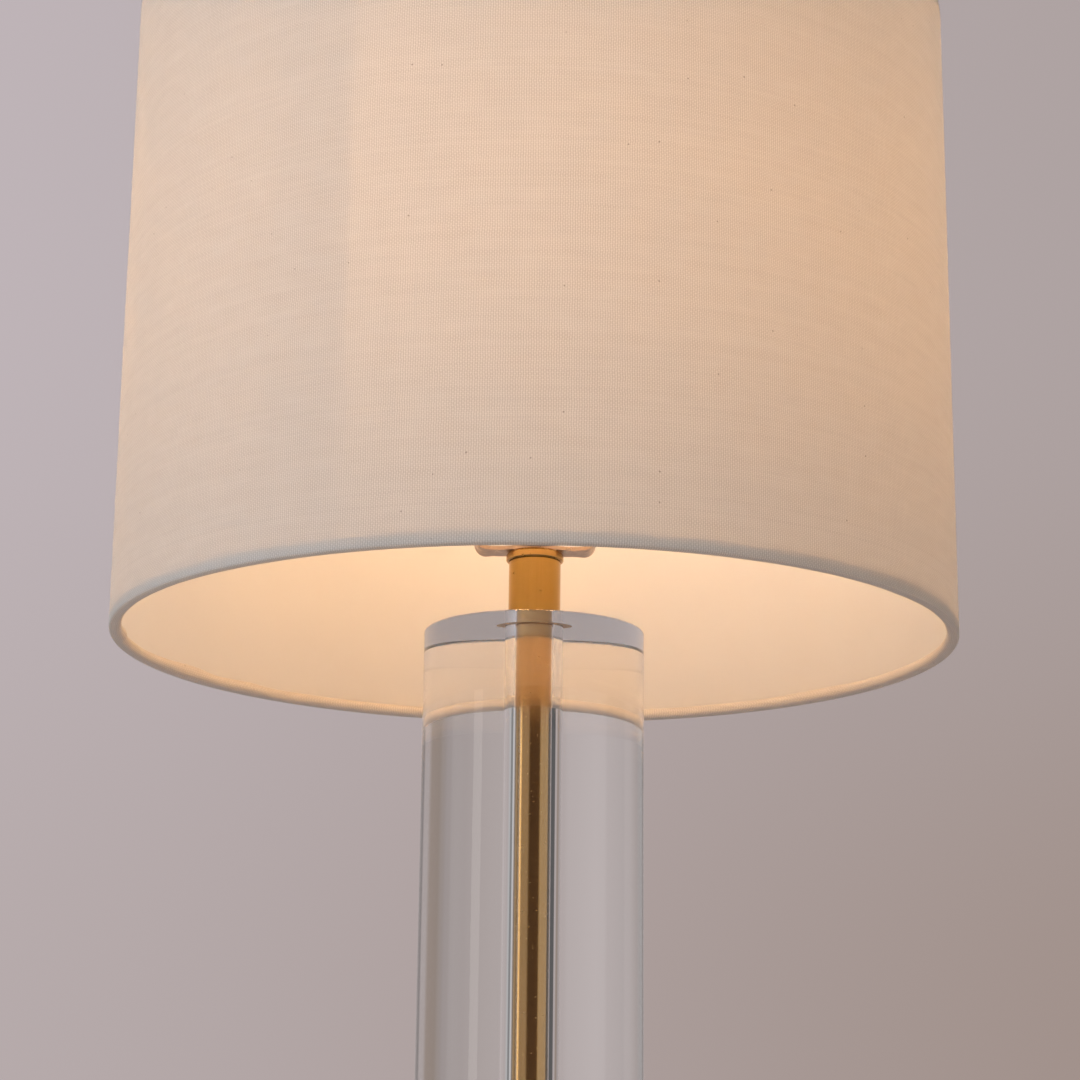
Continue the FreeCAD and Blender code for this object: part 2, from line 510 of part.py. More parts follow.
z_low, out_low, back_low = roll(SHADE_Z0, 1)
z_high, out_high, back_high = roll(SHADE_Z1, -1)
fabric = lathe(out_low + back_low + reverse(back_high) + reverse(out_high))
ring_z0 = z_low
ring_z1 = z_high
ring_b = Part.makeTorus(rc, RING_WIRE_R, V(0, 0, ring_z0))
ring_t = Part.makeTorus(rc, RING_WIRE_R, V(0, 0, ring_z1))
keep("bottom_ring", ring_b)
keep("top_ring", ring_t)
gapz = rb + RING_WIRE_R + 0.6
keep("shade_liner", tube(ri_w - 0.05, ri_w - 0.05 - LINER_T, SHADE_Z0 + gapz, SHADE_Z1 - gapz))

# spider: flat hub and three arms that rise to the upper ring
hub = disc(HUB_R, hub0, hub1)
hub = hub.makeFillet(0.4, [e for e in hub.Edges if len(e.Vertexes) == 1])
hub = hub.cut(disc(3.7, hub0 - 1, hub1 + 1))
arms = []
slits = []
hz_mid = (hub0 + hub1) / 2
for ang in (90, 210, 330):
    ca, sa = math.cos(math.radians(ang)), math.sin(math.radians(ang))
    p0, p1, p2 = (9.5, hz_mid - 2.4), (26.0, hz_mid - 2.4), (rc - RING_WIRE_R + 0.05, ring_z1)
    w = route([(ca * p0[0], sa * p0[0], p0[1]), (ca * p1[0], sa * p1[0], p1[1]), (ca * p2[0], sa * p2[0], p2[1])], [40.0])
    arms.append(sweep(w, ARM_R))
    last = V(ca * p2[0], sa * p2[0], p2[1])
    prev = V(ca * p1[0], sa * p1[0], p1[1])
    d = (last - prev).normalize()
    slits.append(Part.makeCylinder(ARM_R + 0.25, 12.0, last - d * 10.0, d))
spider = hub
for a_ in arms:
    spider = spider.fuse(a_)
spider = spider.cut(ring_t)
spider = max(spider.Solids, key=lambda s: s.Volume) if len(spider.Solids) > 1 else spider
keep("spider", spider)
for s in slits:
    # slit only on the inner side of the roll, not in the outer wall
    fabric = fabric.cut(s.common(tube(rc, rc - 20, SHADE_Z1 - 30, SHADE_Z1 + 5)))
keep("shade_fabric", fabric)

# ---------------------------------------------------------------- finial
fz = hub1 + 0.15
crown_r = 7.9
crown_z = FINIAL_TOP - crown_r
fin = lathe([(3.5, fz), (9.0, fz), (9.4, fz + 0.4), (9.4, fz + 2.0), (9.0, fz + 2.4), (6.2, fz + 3.4), ("arc", (4.9, fz + 5.6), (5.6, fz + 8.0)),
             ("arc", (5.9, fz + 10.6), (4.6, fz + 12.8)), (5.6, fz + 13.6), (5.6, fz + 14.4), (5.0, fz + 15.0),
             ("arc", (8.9, fz + 23.0), (crown_r * math.cos(math.radians(38)), crown_z + crown_r * math.sin(math.radians(38)))),
             ("arc", (crown_r * math.cos(math.radians(70)), crown_z + crown_r * math.sin(math.radians(70))), (0, FINIAL_TOP)), (0, STUD_TOP + 0.8), (3.5, STUD_TOP + 0.8)])
keep("finial", fin)

# ---------------------------------------------------------------- write
total = 0.0
for name in shapes:
    s = shapes[name]
    if not s.isValid():
        print("NOT VALID", name)
    for so in s.Solids:
        if so.Volume <= 0:
            print("BAD VOLUME", name, so.Volume)
    s.exportStep("parts/%s.step" % name)
    total += 1
bb = Part.makeCompound(list(shapes.values())).BoundBox
print("%d nodes, box %.2f..%.2f  %.2f..%.2f  %.2f..%.2f" % (total, bb.XMin, bb.XMax, bb.YMin, bb.YMax, bb.ZMin, bb.ZMax))
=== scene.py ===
import bpy
import bmesh
import json
import math
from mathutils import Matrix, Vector, noise


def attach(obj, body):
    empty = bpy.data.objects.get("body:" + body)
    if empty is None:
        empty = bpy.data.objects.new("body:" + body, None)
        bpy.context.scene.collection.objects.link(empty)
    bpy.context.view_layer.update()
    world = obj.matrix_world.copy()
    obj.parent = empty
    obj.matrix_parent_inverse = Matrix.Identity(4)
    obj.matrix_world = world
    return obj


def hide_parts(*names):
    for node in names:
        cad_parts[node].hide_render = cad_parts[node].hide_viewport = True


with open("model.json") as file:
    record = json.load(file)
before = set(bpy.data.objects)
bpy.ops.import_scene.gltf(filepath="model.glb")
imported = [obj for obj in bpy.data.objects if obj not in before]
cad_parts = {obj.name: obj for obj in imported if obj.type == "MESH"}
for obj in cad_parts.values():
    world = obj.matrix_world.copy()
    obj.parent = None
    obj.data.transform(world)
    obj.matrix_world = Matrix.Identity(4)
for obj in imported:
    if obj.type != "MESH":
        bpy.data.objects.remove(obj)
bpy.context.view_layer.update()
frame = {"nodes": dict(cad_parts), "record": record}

nodes = frame["nodes"]
TAU = 2 * math.pi

# sizes in metres, as in the frame
RIM = 0.3939            # lower edge of the shade
TOP = 0.6739            # upper edge of the shade
SHADE_R = 0.17785       # face of the cloth
RING_C = 0.17525        # centre line of the wire rings
RING_UP = 0.00275       # centre of a ring, in from the shade's edge
ROLL_R = 0.0026         # cloth rolled round the ring
GLASS_TOP = 0.400

# ------------------------------------------------------------------ camera
F_PX, PITCH, YAW, ROLL = 2584.4, 14.408, 0.457, 0.60
CAM = Vector((-0.00644, -1.07068, 0.3939 - 0.22803))


def camera():
    cam = bpy.data.cameras.new("camera")
    ob = bpy.data.objects.new("camera", cam)
    bpy.context.scene.collection.objects.link(ob)
    cam.sensor_width = 36.0
    cam.sensor_fit = "HORIZONTAL"
    cam.lens = F_PX / 1080.0 * 36.0
    cam.clip_start, cam.clip_end = 0.05, 60.0
    y, p, r = math.radians(YAW), math.radians(PITCH), math.radians(ROLL)
    fwd = Vector((math.sin(y) * math.cos(p), math.cos(y) * math.cos(p), math.sin(p)))
    right = Vector((math.cos(y), -math.sin(y), 0.0))
    up = right.cross(fwd)
    r2 = right * math.cos(r) + up * math.sin(r)
    u2 = up * math.cos(r) - right * math.sin(r)
    m = ob.matrix_world.copy()
    for i in range(3):
        m[i][0], m[i][1], m[i][2], m[i][3] = r2[i], u2[i], -fwd[i], CAM[i]
    ob.matrix_world = m
    bpy.context.scene.camera = ob


camera()


# ------------------------------------------------------------------ node helper
class Mat:
    def __init__(self, name):
        self.m = bpy.data.materials.new(name)
        self.m.use_nodes = True
        self.nt = self.m.node_tree
        self.nt.nodes.clear()
        self.out = self.nt.nodes.new("ShaderNodeOutputMaterial")

    def put(self, sock, val):
        if isinstance(val, bpy.types.NodeSocket):
            self.nt.links.new(val, sock)
        elif hasattr(sock, "default_value"):
            try:
                sock.default_value = val
            except TypeError:
                sock.default_value = tuple(val) + (1.0,) if len(val) == 3 else val
            except ValueError:
                sock.default_value = tuple(val) + (1.0,)

    def n(self, kind, inputs=None, **props):
        nd = self.nt.nodes.new(kind)
        for k, v in props.items():
            setattr(nd, k, v)
        for k, v in (inputs or {}).items():
            self.put(nd.inputs[k], v)
        return nd

    def math(self, op, a, b=0.0, c=0.0, clamp=False):
        nd = self.n("ShaderNodeMath", operation=op, use_clamp=clamp)
        self.put(nd.inputs[0], a)
        self.put(nd.inputs[1], b)
        self.put(nd.inputs[2], c)
        return nd.outputs[0]

    def mixf(self, f, a, b):
        nd = self.n("ShaderNodeMix", data_type="FLOAT")
        self.put(nd.inputs[0], f)
        self.put(nd.inputs[2], a)
        self.put(nd.inputs[3], b)
        return nd.outputs[0]

    def mixc(self, f, a, b, mode="MIX"):
        nd = self.n("ShaderNodeMix", data_type="RGBA", blend_type=mode)
        self.put(nd.inputs[0], f)
        self.put(nd.inputs[6], a)
        self.put(nd.inputs[7], b)
        return nd.outputs[2]

    def rng(self, v, a, b, c, d, smooth=False):
        nd = self.n("ShaderNodeMapRange", interpolation_type="SMOOTHSTEP" if smooth else "LINEAR")
        self.put(nd.inputs[0], v)
        for i, x in enumerate((a, b, c, d)):
            self.put(nd.inputs[i + 1], x)
        return nd.outputs[0]

    def obj(self):
        return self.n("ShaderNodeTexCoord").outputs["Object"]

    def uv(self):
        return self.n("ShaderNodeUVMap", uv_map="weave").outputs[0]

    def scaled(self, vec, s):
        nd = self.n("ShaderNodeVectorMath", operation="MULTIPLY")
        self.put(nd.inputs[0], vec)
        nd.inputs[1].default_value = s
        return nd.outputs[0]

    def noise(self, vec, scale, detail=2.0, rough=0.5, dist=0.0):
        nd = self.n("ShaderNodeTexNoise", {"Vector": vec, "Scale": scale, "Detail": detail, "Roughness": rough, "Distortion": dist})
        return nd.outputs[0]

    def bump(self, h, dist, strength=1.0, normal=None):
        nd = self.n("ShaderNodeBump", {"Height": h, "Distance": dist, "Strength": strength})
        if normal is not None:
            self.put(nd.inputs["Normal"], normal)
        return nd.outputs[0]

    def principled(self, **kw):
        nd = self.n("ShaderNodeBsdfPrincipled")
        for k, v in kw.items():
            self.put(nd.inputs[k.replace("_", " ")], v)
        self.nt.links.new(nd.outputs[0], self.out.inputs[0])
        return nd


def cyl_coords(M):
    # angle about Z, radius and height, from the object's own coordinates
    s = M.n("ShaderNodeSeparateXYZ", {0: M.obj()})
    ang = M.math("ARCTAN2", s.outputs[1], s.outputs[0])
    rad = M.math("SQRT", M.math("ADD", M.math("MULTIPLY", s.outputs[0], s.outputs[0]), M.math("MULTIPLY", s.outputs[1], s.outputs[1])))
    return ang, rad, s.outputs[2]


# ------------------------------------------------------------------ materials
def turned_metal(name, color, dark, rough=0.25, aniso=0.45, painted_band_depth=0.10):
    """Satin metal, polished round its axis: highlights run long down the piece and stay narrow round it."""
    M = Mat(name)
    o = M.obj()
    ang, rad, z = cyl_coords(M)
    cmb = M.n("ShaderNodeCombineXYZ", {0: M.math("COSINE", ang), 1: M.math("SINE", ang), 2: M.math("MULTIPLY", M.math("ADD", z, rad), 1500.0)})
    fine = M.noise(cmb.outputs[0], 1.2, 3.0, 0.7)
    # soft vertical bands that darken the colour down the piece are painted reflection bands, not polishing marks
    cmv = M.n("ShaderNodeCombineXYZ", {0: M.math("MULTIPLY", M.math("COSINE", ang), 22.0), 1: M.math("MULTIPLY", M.math("SINE", ang), 22.0), 2: M.math("MULTIPLY", z, 7.0)})
    down = M.noise(cmv.outputs[0], 1.0, 3.0, 0.6)
    cloud = M.noise(o, 45.0, 4.0, 0.6)
    tone = M.mixc(M.rng(cloud, 0.35, 0.75, 0.0, 0.5), color, dark)
    tone = M.mixc(M.math("MULTIPLY", M.rng(down, 0.35, 0.7, 0.0, 1.0), painted_band_depth * 3.0), tone, dark)
    r = M.math("ADD", M.rng(cloud, 0.3, 0.7, rough - 0.03, rough + 0.05), M.math("MULTIPLY", M.math("SUBTRACT", fine, 0.5), 0.06))
    r = M.math("ADD", r, M.rng(M.noise(o, 420.0, 2.0, 0.5), 0.62, 0.75, 0.0, 0.05))
    p = M.principled(Base_Color=tone, Metallic=1.0, Roughness=r, Normal=M.bump(fine, 0.000003, 0.12))
    p.inputs["Anisotropic"].default_value = aniso
    p.inputs["Anisotropic Rotation"].default_value = 0.25
    tan = M.n("ShaderNodeTangent", direction_type="RADIAL", axis="Z")
    M.put(p.inputs["Tangent"], tan.outputs[0])
    return M.m


def drawn_metal(name, color, dark, rough=0.15):
    """Tube drawn and polished lengthwise, with a faint orange-peel grain and long soft draw lines."""
    M = Mat(name)
    o = M.obj()
    ang, rad, z = cyl_coords(M)
    cmv = M.n("ShaderNodeCombineXYZ", {0: M.math("MULTIPLY", M.math("COSINE", ang), 9.0), 1: M.math("MULTIPLY", M.math("SINE", ang), 9.0), 2: M.math("MULTIPLY", z, 3.0)})
    down = M.noise(cmv.outputs[0], 1.0, 4.0, 0.6)
    grain = M.noise(M.scaled(o, (1.0, 1.0, 0.6)), 1900.0, 2.0, 0.5)
    dirt = M.noise(o, 900.0, 1.0, 0.5)
    cloud = M.noise(o, 30.0, 4.0, 0.6)
    tone = M.mixc(M.rng(cloud, 0.3, 0.75, 0.0, 0.45), color, dark)
    tone = M.mixc(M.rng(down, 0.4, 0.7, 0.0, 0.35), tone, dark)
    r = M.math("ADD", M.rng(cloud, 0.3, 0.7, rough - 0.02, rough + 0.04), M.rng(dirt, 0.70, 0.78, 0.0, 0.2))
    M.principled(Base_Color=tone, Metallic=1.0, Roughness=r, Normal=M.bump(grain, 0.000004, 0.5))
    return M.m


def plated(name, color, dark, rough=0.16, cloudy=60.0):
    """Bright plated steel with soft roll marks and light scratches."""
    M = Mat(name)
    o = M.obj()
    cloud = M.noise(o, cloudy, 4.0, 0.6)
    sc = M.noise(M.scaled(o, (90.0, 1400.0, 1400.0)), 1.0, 2.0, 0.6)
    tone = M.mixc(M.rng(cloud, 0.35, 0.75, 0.0, 0.5), color, dark)
    r = M.math("ADD", M.rng(cloud, 0.3, 0.75, rough, rough + 0.12), M.rng(sc, 0.55, 0.75, 0.0, 0.08))
    M.principled(Base_Color=tone, Metallic=1.0, Roughness=r, Normal=M.bump(sc, 0.00001, 0.4))
    return M.m


def cast_iron(name):
    M = Mat(name)
    o = M.obj()
    g = M.noise(o, 260.0, 5.0, 0.7)
    b = M.noise(o, 45.0, 3.0, 0.6)
    tone = M.mixc(M.rng(b, 0.3, 0.7, 0.0, 1.0), (0.030, 0.030, 0.032), (0.055, 0.050, 0.046))
    M.principled(Base_Color=tone, Metallic=0.2, Roughness=M.rng(g, 0.3, 0.7, 0.55, 0.8), Normal=M.bump(g, 0.0003, 0.6))
    return M.m


def plastic(name, color, dark, rough=0.3, grain=900.0, depth=0.00003):
    M = Mat(name)
    o = M.obj()
    g = M.noise(o, grain, 3.0, 0.6)
    b = M.noise(o, 50.0, 3.0, 0.5)
    tone = M.mixc(M.rng(b, 0.3, 0.7, 0.0, 1.0), color, dark)
    M.principled(Base_Color=tone, Roughness=M.rng(g, 0.3, 0.7, rough - 0.05, rough + 0.1), Normal=M.bump(g, depth, 0.5))
    return M.m


def felt(name):
    M = Mat(name)
    o = M.obj()
    f1 = M.noise(M.scaled(o, (1.0, 1.0, 0.6)), 900.0, 5.0, 0.75, 1.2)
    f2 = M.noise(o, 130.0, 3.0, 0.6)
    tone = M.mixc(M.rng(f1, 0.3, 0.7, 0.0, 1.0), (0.012, 0.014, 0.013), (0.05, 0.055, 0.05))
    tone = M.mixc(M.rng(f2, 0.3, 0.7, 0.0, 0.4), tone, (0.03, 0.032, 0.03))
    p = M.principled(Base_Color=tone, Roughness=0.95, Normal=M.bump(f1, 0.0004, 0.9))
    p.inputs["Sheen Weight"].default_value = 0.5
    p.inputs["Sheen Roughness"].default_value = 0.5
    return M.m


def fibre_board(name):
    M = Mat(name)
    o = M.obj()
    f = M.noise(M.scaled(o, (600.0, 600.0, 150.0)), 1.0, 4.0, 0.7)
    tone = M.mixc(M.rng(f, 0.3, 0.7, 0.0, 1.0), (0.30, 0.22, 0.13), (0.42, 0.33, 0.21))
    M.principled(Base_Color=tone, Roughness=0.85, Normal=M.bump(f, 0.0001, 0.5))
    return M.m


def crystal(name):
    """Polished clear crystal: even, with a breath of handling haze on the surface."""
    M = Mat(name)
    o = M.obj()
    haze = M.noise(o, 22.0, 3.0, 0.6)
    wipe = M.noise(M.scaled(o, (40.0, 40.0, 9.0)), 1.0, 3.0, 0.6)
    r = M.math("MULTIPLY", M.rng(haze, 0.5, 0.75, 0.0, 1.0), M.rng(wipe, 0.45, 0.7, 0.0, 0.02), clamp=True)
    p = M.principled(Base_Color=(1.0, 1.0, 1.0), Roughness=r)
    p.inputs["Transmission Weight"].default_value = 1.0
    p.inputs["IOR"].default_value = 1.517
    return M.m


def nylon(name):
    M = Mat(name)
    g = M.noise(M.obj(), 500.0, 3.0, 0.6)
    p = M.principled(Base_Color=M.mixc(M.rng(g, 0.3, 0.7, 0.0, 1.0), (0.78, 0.76, 0.72), (0.86, 0.84, 0.80)), Roughness=M.rng(g, 0.3, 0.7, 0.3, 0.5))
    p.inputs["Transmission Weight"].default_value = 0.25
    p.inputs["IOR"].default_value = 1.5
    return M.m


def bulb_frost(name, strength):
    """Inside-frosted globe, lit from its light bars."""
    M = Mat(name)
    g = M.noise(M.obj(), 160.0, 3.0, 0.6)
    p = M.principled(Base_Color=M.mixc(M.rng(g, 0.3, 0.7, 0.0, 1.0), (0.90, 0.89, 0.86), (0.95, 0.94, 0.92)), Roughness=0.42,
                     Emission_Color=(1.0, 0.605, 0.30), Emission_Strength=strength)
    p.inputs["Coat Weight"].default_value = 0.4
    return M.m


def bulb_bars(name):
    M = Mat(name)
    g = M.noise(M.obj(), 300.0, 2.0, 0.5)
    M.principled(Base_Color=M.mixc(g, (0.95, 0.75, 0.35), (1.0, 0.85, 0.5)), Roughness=0.5, Emission_Color=(1.0, 0.7, 0.35), Emission_Strength=3.0)
    return M.m


# weave: thread pitch round the shade and up it
N_AROUND = 1202
PITCH_U = TAU * SHADE_R / N_AROUND
PITCH_V = 0.000715
HEM_V = 0.2862          # where the upper roll begins, measured up the cloth from its tucked lower edge


def weave_nodes(M, uv):
    """Plain weave in cloth coordinates (metres). Gives thread height 0..1, checker -1..1, slub and speck masks."""
    s = M.n("ShaderNodeSeparateXYZ", {0: uv})
    u0, v0 = s.outputs[0], s.outputs[1]
    wob_u = M.math("SUBTRACT", M.noise(M.scaled(uv, (90.0, 260.0, 1.0)), 1.0, 2.0, 0.6), 0.5)
    wob_v = M.math("SUBTRACT", M.noise(M.scaled(uv, (130.0, 110.0, 1.0)), 1.0, 2.0, 0.6), 0.5)
    u = M.math("ADD", M.math("DIVIDE", u0, PITCH_U), M.math("MULTIPLY", wob_u, 0.9))
    v = M.math("ADD", M.math("DIVIDE", v0, PITCH_V), M.math("MULTIPLY", wob_v, 0.9))
    su = M.math("SINE", M.math("MULTIPLY", u, math.pi))
    sv = M.math("SINE", M.math("MULTIPLY", v, math.pi))
    au, av = M.math("ABSOLUTE", su), M.math("ABSOLUTE", sv)
    check = M.math("MULTIPLY", su, sv)
    # per-thread thickness, so that each thread has its own weight
    iu, iv = M.math("FLOOR", u), M.math("FLOOR", v)
    ru = M.n("ShaderNodeTexWhiteNoise", {"W": iu}, noise_dimensions="1D").outputs[0]
    rv = M.n("ShaderNodeTexWhiteNoise", {"W": M.math("ADD", iv, 517.0)}, noise_dimensions="1D").outputs[0]
    pu = M.math("POWER", au, M.rng(ru, 0.0, 1.0, 0.45, 0.95))
    pv = M.math("POWER", av, M.rng(rv, 0.0, 1.0, 0.45, 0.95))
    pillow = M.math("MULTIPLY", pu, pv)
    # slubs: thick stretches of single threads
    sl_u = M.noise(M.n("ShaderNodeCombineXYZ", {0: M.math("MULTIPLY", u0, 26.0), 1: M.math("MULTIPLY", iv, 7.31), 2: 0.0}).outputs[0], 1.0, 1.0, 0.5)
    sl_v = M.noise(M.n("ShaderNodeCombineXYZ", {0: M.math("MULTIPLY", iu, 5.17), 1: M.math("MULTIPLY", v0, 24.0), 2: 4.0}).outputs[0], 1.0, 1.0, 0.5)
    slub = M.math("MAXIMUM", M.rng(sl_u, 0.60, 0.78, 0.0, 1.0, True), M.rng(sl_v, 0.62, 0.80, 0.0, 1.0, True))
    # neps: small darker specks of bark and seed in the yarn
    vo = M.n("ShaderNodeTexVoronoi", {"Vector": uv, "Scale": 85.0, "Randomness": 1.0}, voronoi_dimensions="2D")
    pick = M.n("ShaderNodeSeparateColor", {0: vo.outputs["Color"]}).outputs[0]
    size = M.rng(pick, 0.90, 1.0, 0.0, 0.036)
    speck = M.math("MULTIPLY", M.math("LESS_THAN", vo.outputs["Distance"], size), 1.0)
    return dict(pillow=pillow, pu=pu, pv=pv, check=check, slub=slub, speck=speck, ru=ru, rv=rv, u0=u0, v0=v0)


def linen(name):
    """Off-white linen and cotton: reflects as cloth, passes part of the light from behind."""
    M = Mat(name)
    uv = M.uv()
    w = weave_nodes(M, uv)
    big = M.noise(M.scaled(uv, (7.0, 9.0, 1.0)), 1.0, 3.0, 0.55)
    mid = M.noise(M.scaled(uv, (70.0, 160.0, 1.0)), 1.0, 3.0, 0.6)
    # weave colour: painted shade in the gaps between threads and painted light on the rounded thread crowns, with real
    # differences of thread weight, slubs and tone mixed in
    light, shadow = (0.875, 0.822, 0.75), (0.55, 0.495, 0.435)
    k = M.math("ADD", M.math("MULTIPLY", w["pu"], 0.95), M.math("MULTIPLY", w["pv"], 0.45))
    k = M.math("SUBTRACT", M.math("ADD", k, M.math("MULTIPLY", w["check"], 0.26)), 0.36)
    k = M.math("ADD", k, M.math("MULTIPLY", M.math("SUBTRACT", w["rv"], 0.5), 0.16))
    k = M.math("ADD", k, M.math("MULTIPLY", M.math("SUBTRACT", w["ru"], 0.5), 0.16))
    k = M.math("ADD", k, M.math("MULTIPLY", w["slub"], 0.20))
    k = M.math("ADD", k, M.math("MULTIPLY", M.math("SUBTRACT", mid, 0.5), 0.35))
    k = M.rng(k, 0.0, 1.0, 0.0, 1.0)
    tone = M.mixc(k, shadow, light)
    tone = M.mixc(M.rng(big, 0.3, 0.7, 0.0, 0.10), tone, (0.80, 0.73, 0.64))
    tone = M.mixc(M.math("MULTIPLY", w["speck"], 0.5), tone, (0.34, 0.25, 0.16))
    h = M.math("ADD", M.math("ADD", w["pillow"], M.math("MULTIPLY", w["check"], 0.25)), M.math("MULTIPLY", w["slub"], 0.8))
    nrm = M.bump(h, 0.00016, 0.55)
    nd = M.principled(Base_Color=tone, Roughness=0.88, Normal=nrm)
    nd.inputs["Sheen Weight"].default_value = 0.12
    nd.inputs["Sheen Roughness"].default_value = 0.4
    nd.inputs["Specular IOR Level"].default_value = 0.25
    # light through the cloth: the threads scatter it forward, the glue in the gaps holds it back
    thru = M.mixc(k, (0.80, 0.71, 0.60), (1.0, 0.92, 0.81))
    thru = M.mixc(M.math("MULTIPLY", w["speck"], 0.6), thru, (0.2, 0.14, 0.08))
    thru = M.mixc(M.math("MULTIPLY", w["slub"], 0.25), thru, (0.40, 0.33, 0.26))
    tr = M.n("ShaderNodeBsdfTranslucent", {"Color": thru})
    # rolled round the rings the cloth lies double and passes less
    both = M.math("MULTIPLY", M.rng(w["v0"], 0.0150, 0.0172, 0.0, 1.0, True), M.rng(w["v0"], HEM_V, HEM_V + 0.0022, 1.0, 0.0, True))
    mix = M.n("ShaderNodeMixShader", {0: M.mixf(both, 0.33, 0.39), 1: nd.outputs[0], 2: tr.outputs[0]})
    M.nt.links.new(mix.outputs[0], M.out.inputs[0])
    return M.m


def styrene(name):
    """Smooth white backing sheet of the shade."""
    M = Mat(name)
    o = M.obj()
    g = M.noise(o, 30.0, 3.0, 0.5)
    f = M.noise(o, 900.0, 2.0, 0.5)
    tone = M.mixc(M.rng(g, 0.3, 0.7, 0.0, 1.0), (0.93, 0.905, 0.865), (0.90, 0.875, 0.835))
    nd = M.principled(Base_Color=tone, Roughness=M.rng(f, 0.3, 0.7, 0.38, 0.5))
    nd.inputs["Specular IOR Level"].default_value = 0.4
    tr = M.n("ShaderNodeBsdfTranslucent", {"Color": (0.96, 0.94, 0.90, 1.0)})
    mix = M.n("ShaderNodeMixShader", {0: 0.56, 1: nd.outputs[0], 2: tr.outputs[0]})
    M.nt.links.new(mix.outputs[0], M.out.inputs[0])
    return M.m


BRASS, BRASS_D = (0.60, 0.355, 0.115), (0.50, 0.285, 0.085)
# the neck is the same brass as the other pieces, given a darker copy of its colour: painted shade
NECK_SHADED, NECK_SHADED_D = (0.50, 0.30, 0.085), (0.41, 0.235, 0.062)
MATS = {
    "satin_brass": turned_metal("satin_brass", BRASS, BRASS_D),
    "drawn_brass": drawn_metal("drawn_brass", (0.60, 0.365, 0.145), (0.50, 0.295, 0.11)),
    "bright_brass": turned_metal("bright_brass", (0.72, 0.50, 0.22), (0.60, 0.38, 0.15), rough=0.18, aniso=0.2, painted_band_depth=0.03),
    "nickel_plate": plated("nickel_plate", (0.72, 0.665, 0.60), (0.56, 0.50, 0.43)),
    "neck_brass_painted_shade": turned_metal("neck_brass_painted_shade", NECK_SHADED, NECK_SHADED_D, rough=0.22, aniso=0.5, painted_band_depth=0.16),
    # nickel plate darkened and warmed brown: a painted warm reflection
    "nickel_painted_warm_reflection": plated("nickel_painted_warm_reflection", (0.66, 0.50, 0.385), (0.34, 0.21, 0.13), rough=0.24, cloudy=140.0),
    "zinc_steel": plated("zinc_steel", (0.58, 0.58, 0.60), (0.45, 0.45, 0.47), rough=0.34),
    "ring_steel": plastic("ring_steel", (0.84, 0.83, 0.80), (0.78, 0.77, 0.73), rough=0.4),
    "cast_iron": cast_iron("cast_iron"),
    "felt": felt("felt"),
    "crystal": crystal("crystal"),
    "clear_washer": nylon("clear_washer"),
    "amber_washer": plastic("amber_washer", (0.80, 0.50, 0.26), (0.66, 0.38, 0.18), rough=0.35),
    "black_plastic": plastic("black_plastic", (0.018, 0.017, 0.016), (0.028, 0.025, 0.023), rough=0.24),
    "grey_plastic": plastic("grey_plastic", (0.42, 0.43, 0.45), (0.36, 0.37, 0.39), rough=0.42),
    "insulating_card": fibre_board("insulating_card"),
    "aluminium_cap": plated("aluminium_cap", (0.80, 0.80, 0.81), (0.68, 0.68, 0.70), rough=0.28),
    "bulb_glass": bulb_frost("bulb_glass", 35.5),
    "light_bars": bulb_bars("light_bars"),
    "lead_brown": plastic("lead_brown", (0.10, 0.045, 0.02), (0.08, 0.035, 0.015), rough=0.4),
    "lead_cream": plastic("lead_cream", (0.70, 0.65, 0.53), (0.64, 0.58, 0.47), rough=0.4),
    "linen": linen("linen"),
    "liner": styrene("liner"),
}

# pieces that look different from others of the same make: the harp saddle's nickel is darkened and warmed brown, a
# painted reflection of the lit shade inside
LOOK = {"harp_saddle": "nickel_painted_warm_reflection"}
slots = {s["node"]: s["material_slot"] for s in frame["record"]["subparts"]}
for name, ob in nodes.items():
    ob.data.materials.clear()
    ob.data.materials.append(MATS[LOOK.get(name, slots[name])])


# ------------------------------------------------------------------ mesh helpers
def add_object(name, me, slot, body, *replaces):
    ob = bpy.data.objects.new(name, me)
    bpy.context.scene.collection.objects.link(ob)
    me.materials.clear()
    me.materials.append(MATS[slot])
    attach(ob, body)
    if replaces:
        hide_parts(*replaces)
    return ob


def rounded(points, seg=6):
    """(r, z, fillet) corners of an outline to a smooth list of (r, z) points. The outline's ends stay sharp."""
    out = []
    n = len(points)
    for i, (r, z, f) in enumerate(points):
        if f <= 0 or i in (0, n - 1):
            out.append((r, z))
            continue
        p, a, b = Vector((r, z)), Vector(points[i - 1][:2]), Vector(points[i + 1][:2])
        da, db = (a - p), (b - p)
        la, lb = da.length, db.length
        da.normalize()
        db.normalize()
        turn = math.pi - da.angle(db)
        cut = min(f * math.tan(turn / 2), la * 0.499, lb * 0.499)
        f2 = cut / math.tan(turn / 2)
        centre = p + (da + db).normalized() * (f2 / math.cos(turn / 2))
        s, e = p + da * cut - centre, p + db * cut - centre
        a0 = math.atan2(s.y, s.x)
        d = (math.atan2(e.y, e.x) - a0 + math.pi) % TAU - math.pi
        for k in range(seg + 1):
            t = a0 + d * k / seg
            out.append((centre.x + f2 * math.cos(t), centre.y + f2 * math.sin(t)))
    return out


def held(outline, d=0.0004):
    """Extra rings close to both ends of every long run, so that smooth shading stays at the edges."""
    out = [outline[0]]
    for a, b in zip(outline, outline[1:]):
        n = math.hypot(b[0] - a[0], b[1] - a[1])
        if n > 4 * d:
            for t in (d / n, 1 - d / n):
                out.append((a[0] + (b[0] - a[0]) * t, a[1] + (b[1] - a[1]) * t))
        out.append(b)
    return out


